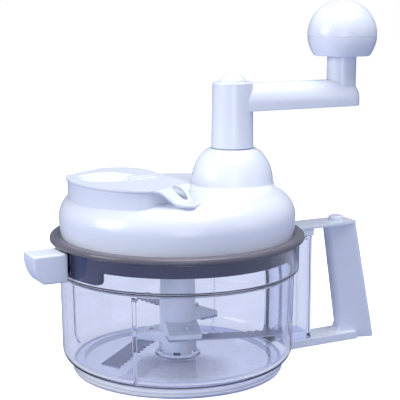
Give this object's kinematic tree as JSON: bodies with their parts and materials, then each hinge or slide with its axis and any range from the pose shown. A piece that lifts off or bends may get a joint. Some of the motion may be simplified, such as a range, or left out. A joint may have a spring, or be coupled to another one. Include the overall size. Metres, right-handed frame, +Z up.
{
  "type": "hand-cranked food chopper",
  "caption": "Hand-cranked chopper with a clear handled bowl, geared lid, feed chute with egg separator, ball-knob crank and serrated blades on a centre shaft.",
  "frame": {"origin": "centre of the foot's underside, on the bowl's axis", "axes": "+Z up along the bowl's axis, +X towards the bowl's handle, the locking tab at -X"},
  "size_m": [0.2723, 0.176, 0.2537],
  "materials": {
    "clear_bowl": "clear, faintly blue, polished",
    "smoke_ring": "smoke-tinted, polished",
    "white_plastic": "smooth bright white",
    "soft_foot": "soft satin white",
    "shaft_plastic": "milky translucent",
    "gear_plastic": "natural satin white",
    "steel": "turned steel",
    "blade_steel": "brushed stainless sheet"
  },
  "bodies": {
    "bowl_unit": {"bowl": "clear_bowl", "pivot_pin": "steel", "base_foot": "soft_foot", "handle": "white_plastic", "handle_strap": "white_plastic", "handle_screw": "steel", "handle_cap": "white_plastic"},
    "ring_unit": {"ring_frame": "smoke_ring", "grip_tab": "white_plastic"},
    "lid_unit": {"lid_shell": "white_plastic", "gear_dome": "white_plastic", "feed_chute": "white_plastic", "gear_cover": "white_plastic", "cover_screws": "steel", "crank_bush": "gear_plastic"},
    "crank_unit": {"crank_arm": "white_plastic", "crank_spindle": "steel", "drive_gear": "gear_plastic", "crank_screw": "steel", "crank_cap": "white_plastic", "knob_pin": "steel"},
    "knob": {"knob_top": "white_plastic", "knob_base": "white_plastic"},
    "pinion": {"drive_pinion": "gear_plastic"},
    "blade_unit": {"blade_shaft": "shaft_plastic", "blade_lower": "blade_steel", "blade_middle": "blade_steel", "blade_upper": "blade_steel", "blade_rivets": "blade_steel"},
    "separator": {"egg_separator": "white_plastic"}
  },
  "joints": [
    {"name": "ring_lift", "type": "slide", "parent": "bowl_unit", "child": "ring_unit", "axis": [0, 0, 1], "range_m": [0, 0.04]},
    {"name": "lid_lift", "type": "slide", "parent": "ring_unit", "child": "lid_unit", "axis": [0, 0, 1], "range_m": [0, 0.04]},
    {"name": "separator_lift", "type": "slide", "parent": "lid_unit", "child": "separator", "axis": [0, 0, 1], "range_m": [0, 0.03]},
    {"name": "crank_turn", "type": "hinge", "parent": "lid_unit", "child": "crank_unit", "pos_m": [0.0435, 0, 0.15], "axis": [0, 0, 1], "continuous": true},
    {"name": "knob_spin", "type": "hinge", "parent": "crank_unit", "child": "knob", "pos_m": [0.135, 0, 0.2285], "axis": [0, 0, 1], "continuous": true},
    {"name": "pinion_spin", "type": "hinge", "parent": "lid_unit", "child": "pinion", "pos_m": [0, 0, 0.1], "axis": [0, 0, 1], "continuous": true},
    {"name": "blade_spin", "type": "hinge", "parent": "bowl_unit", "child": "blade_unit", "pos_m": [0, 0, 0.03], "axis": [0, 0, 1], "continuous": true}
  ],
  "couplings": [
    {"joint": "pinion_spin", "follows": "crank_turn", "ratio": -2.625},
    {"joint": "blade_spin", "follows": "crank_turn", "ratio": -2.625}
  ]
}
